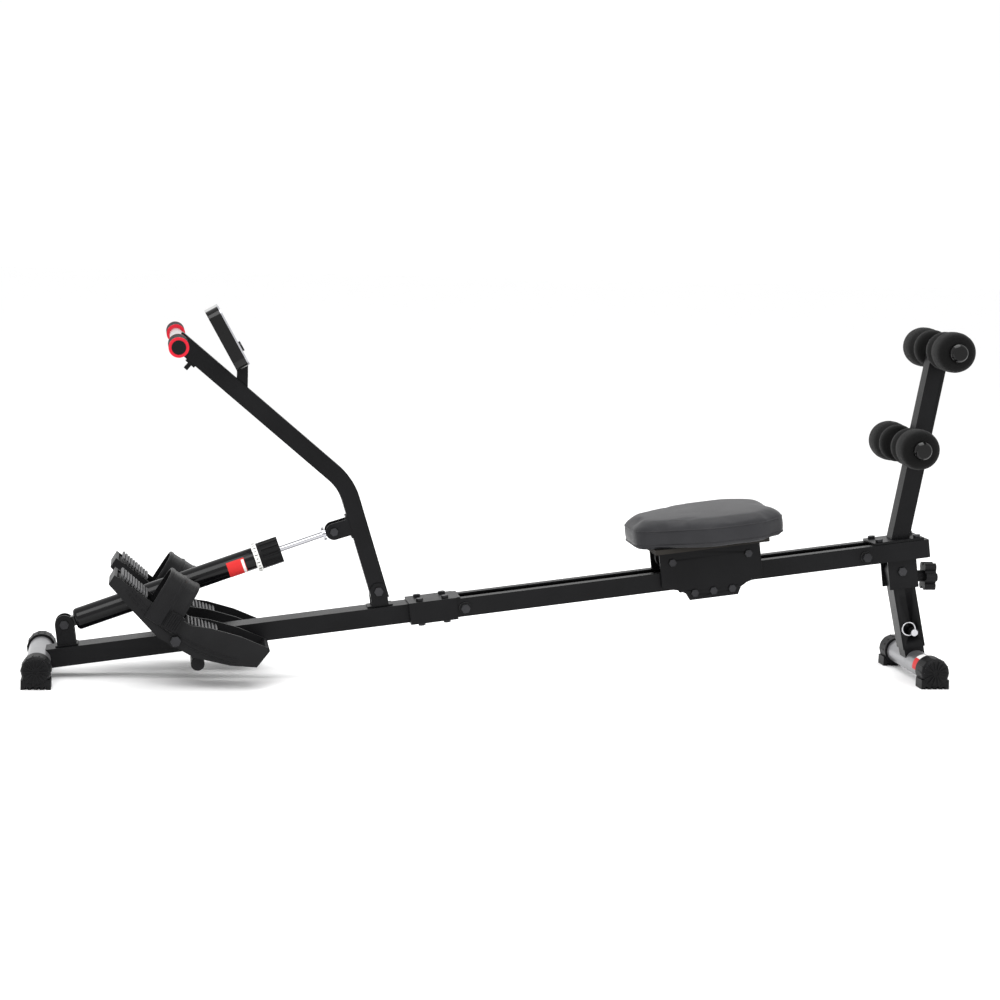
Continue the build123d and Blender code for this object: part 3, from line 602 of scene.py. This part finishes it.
def make_strap(name):
    """A rubber strap arched over the foot, with raised ribs along its edges and middle."""
    place = pedal_place(name)
    vertices, faces = [], []
    columns = 2 * len(STRAP_RIBS)
    for step in range(STRAP_STEPS + 1):
        t = math.pi * step / STRAP_STEPS
        reach = math.copysign(abs(math.cos(t)) ** STRAP_REACH_POWER, math.cos(t))
        rise = max(0.0, math.sin(t)) ** STRAP_RISE_POWER
        outward = Vector((0, math.cos(t), 0.25 + math.sin(t))).normalized()
        middle = Vector((0, STRAP_HALF * reach, STRAP_LOW + (STRAP_TOP - STRAP_LOW) * rise))
        outside = [(x, STRAP_THICKNESS / 2 + lift) for x, lift in STRAP_RIBS]
        inside = [(x, -STRAP_THICKNESS / 2) for x, lift in reversed(STRAP_RIBS)]
        for x, offset in outside + inside:
            spot = middle + outward * (offset + STRAP_CLEARANCE) + Vector((STRAP_START + x, 0, 0))
            vertices.append(place @ (spot * MM))
    for step in range(STRAP_STEPS):
        here = step * columns
        after = (step + 1) * columns
        for column in range(columns):
            following = (column + 1) % columns
            faces.append((here + column, here + following, after + following, after + column))
    faces.append(tuple(range(columns)))
    faces.append(tuple(STRAP_STEPS * columns + column for column in range(columns)))
    body = f"{name}_pedal_body"
    strap = add_piece(f"{name}_foot_strap", vertices, faces, FINISHES["strap_web"], body)
    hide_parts(f"{name}_strap")


def make_treads(name):
    """Cross ridges on the tray, where the toe and the sole rest."""
    toe = []
    for step in range(TOE_RIDGES):
        along = step / (TOE_RIDGES - 1)
        toe.append(((TOE_X + TOE_RUN * along, 0, TOE_TOP - TOE_FALL * along), TOE_SIZE, TOE_TURN))
    sole = []
    for step in range(SOLE_RIDGES):
        sole.append(((SOLE_X + SOLE_STEP * step, 0, SOLE_Z + SOLE_RISE * step), SOLE_SIZE, 0.0))
    for label, ridges in (("toe", toe), ("sole", sole)):
        vertices, faces = boxes(in_metres(ridges), pedal_place(name))
        body = f"{name}_pedal_body"
        # The ridges' lighter grey is a painted highlight.
        tread = add_piece(f"{name}_{label}_tread", vertices, faces, TREAD_HIGHLIGHT_GREY, body)
        soften(tread, TREAD_EDGE)


def make_wall_ribs(name, side):
    """Two raised lines along the tray's outer wall, which follow its bowl."""
    body = f"{name}_pedal_body"
    for number, lift in enumerate(WALL_RIB_LIFTS, 1):
        strip = []
        for step in range(WALL_RIB_STEPS):
            x = WALL_RIB_X + WALL_RIB_PITCH * step
            slope = 2 * BOWL_CURVE * (x - BOWL_X)
            height = BOWL_Z + BOWL_CURVE * (x - BOWL_X) ** 2 + lift
            strip.append(((x, side * WALL_Y, height), WALL_RIB_SIZE, -math.atan(slope)))
        vertices, faces = boxes(in_metres(strip), pedal_place(name))
        rib_name = f"{name}_side_rib_{number}"
        rib = add_piece(rib_name, vertices, faces, FINISHES["pedal_plastic"], body)
        soften(rib, WALL_RIB_EDGE, 1)


def make_buckle_ribs(name, side):
    body = f"{name}_pedal_body"
    ribs = []
    for step in range(BUCKLE_RIBS):
        spot = (BUCKLE_RIB_X + BUCKLE_RIB_PITCH * step, side * BUCKLE_RIB_Y, BUCKLE_RIB_Z)
        ribs.append((spot, BUCKLE_RIB_SIZE, 0.0))
    vertices, faces = boxes(in_metres(ribs), pedal_place(name))
    buckle = add_piece(f"{name}_buckle_ribs", vertices, faces, FINISHES["cap_plastic"], body)
    soften(buckle, BUCKLE_RIB_EDGE)


# ---- stabiliser caps ----
CAP_RADIUS = 27 * MM
CAP_FINS = 14
CAP_FIN_EDGE = 0.6 * MM
FIN_MIDDLE = CAP_RADIUS * 0.52
FIN_LENGTH = CAP_RADIUS * 0.74
FIN_DEPTH = 10.0 * MM
FIN_WIDTH = 2.4 * MM
FIN_INSET = 2.5 * MM
COLLAR_MIDDLE = CAP_RADIUS * 0.99
COLLAR_HEIGHT = 2.4 * MM
COLLAR_DEPTH = 26 * MM
COLLAR_WIDTH = 3.2 * MM
COLLAR_INSET = 22 * MM
FRONT_AXIS_Z = 34 * MM


def make_cap_fins(node, body, axis_z):
    """Radial fins on the outer face of both caps, and ribs round their collars."""
    low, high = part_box(node)
    centre_x = (low.x + high.x) / 2
    for side_name, side in SIDES:
        fin = ((FIN_MIDDLE, -side * FIN_INSET, 0), (FIN_LENGTH, FIN_DEPTH, FIN_WIDTH), 0.0)
        collar = ((COLLAR_MIDDLE, -side * COLLAR_INSET, 0), (COLLAR_HEIGHT, COLLAR_DEPTH, COLLAR_WIDTH), 0.0)
        all_vertices, all_faces = [], []
        for number in range(CAP_FINS):
            spin = Matrix.Rotation(math.tau * number / CAP_FINS, 4, "Y")
            place = Matrix.Translation((centre_x, side * high.y, axis_z)) @ spin
            first = len(all_vertices)
            vertices, faces = boxes([fin, collar], place)
            all_vertices += vertices
            all_faces += [tuple(first + index for index in face) for face in faces]
        name = f"{node}_{side_name}_fins"
        fins = add_piece(name, all_vertices, all_faces, FINISHES["cap_plastic"], body)
        soften(fins, CAP_FIN_EDGE)


# ---- labels and dial marks, in mm along a tube and degrees round it ----
LABEL_STEPS = 24
LABEL_THICKNESS = 0.3
# name, start and end along the tube, radius, start and end round it, material
CYLINDER_LABELS = (
    ("cylinder_label", 318, 352, 20.7, 150, 262, LABEL_RED),
    ("cylinder_label_stripe", 346, 351, 20.9, 158, 254, LABEL_WHITE),
)
REAR_LABELS = (
    ("rear_label_white", 66, 97, 22.7, 0, 42, LABEL_WHITE),
    ("rear_label_red", 66, 97, 22.7, 42, 100, LABEL_RED),
)
TICKS = 24
TICK_RADIUS = 27.6
TICK_X = 376.3
TICK_LONG = 6.0
TICK_SHORT = 3.2
TICK_HEIGHT = 0.5
TICK_WIDTH = 1.5


def wrap_label(name, x0, x1, radius, start, end, material, place, body, slot):
    """A thin label bent round a tube, from start to end degrees about the tube's axis, local X."""
    vertices, faces = [], []
    for step in range(LABEL_STEPS + 1):
        angle = math.radians(start + (end - start) * step / LABEL_STEPS)
        for r in (radius, radius - LABEL_THICKNESS):
            for x in (x0, x1):
                vertices.append(place @ (Vector((x, r * math.cos(angle), r * math.sin(angle))) * MM))
    for step in range(LABEL_STEPS):
        a = 4 * step
        b = 4 * (step + 1)
        faces += [(a, a + 1, b + 1, b), (a + 2, b + 2, b + 3, a + 3)]
        faces += [(a, b, b + 2, a + 2), (a + 1, a + 3, b + 3, b + 1)]
    last = 4 * LABEL_STEPS
    faces += [(0, 2, 3, 1), (last, last + 1, last + 3, last + 2)]
    add_piece(name, vertices, faces, material, body)


def make_cylinder_marks():
    axis = Vector(joints["rod_slide"]["axis"])
    place = axis_place(axis, Vector(joints["cylinder_tilt"]["pos_m"]))
    for label in CYLINDER_LABELS:
        wrap_label(*label, place, "cylinder", "cylinder_paint")
    for number in range(TICKS):
        length = TICK_LONG if number % 2 else TICK_SHORT
        spin = place @ Matrix.Rotation(math.tau * number / TICKS, 4, "X")
        tick = ((TICK_X, TICK_RADIUS, 0), (length, TICK_HEIGHT, TICK_WIDTH), 0.0)
        vertices, faces = boxes(in_metres([tick]), spin)
        add_piece(f"dial_tick_{number:02d}", vertices, faces, INK, "dial")


def make_rear_label(low, high):
    """A plain two-colour label on the rear stabiliser, on the rower's left."""
    place = Matrix(((0, 0, -1), (-1, 0, 0), (0, 1, 0))).to_4x4()
    place.translation = ((low.x + high.x) / 2, 0, (low.z + high.z) / 2)
    for label in REAR_LABELS:
        wrap_label(*label, place, "leg_foot", "grey_paint")


make_camera()
make_studio()
dress_cad_nodes()
make_seat_cushion()
for roller_level in ("upper", "lower"):
    for roller_side, sign in SIDES:
        make_foam(roller_level, roller_side, sign)
for pedal_name, pedal_side in SIDES:
    make_strap(pedal_name)
    make_treads(pedal_name)
    make_wall_ribs(pedal_name, pedal_side)
    make_buckle_ribs(pedal_name, pedal_side)
rear_low, rear_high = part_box("rear_stabiliser")
make_cap_fins("front_stabiliser_caps", "frame", FRONT_AXIS_Z)
make_cap_fins("rear_stabiliser_caps", "leg_foot", (rear_low.z + rear_high.z) / 2)
make_cylinder_marks()
make_rear_label(rear_low, rear_high)
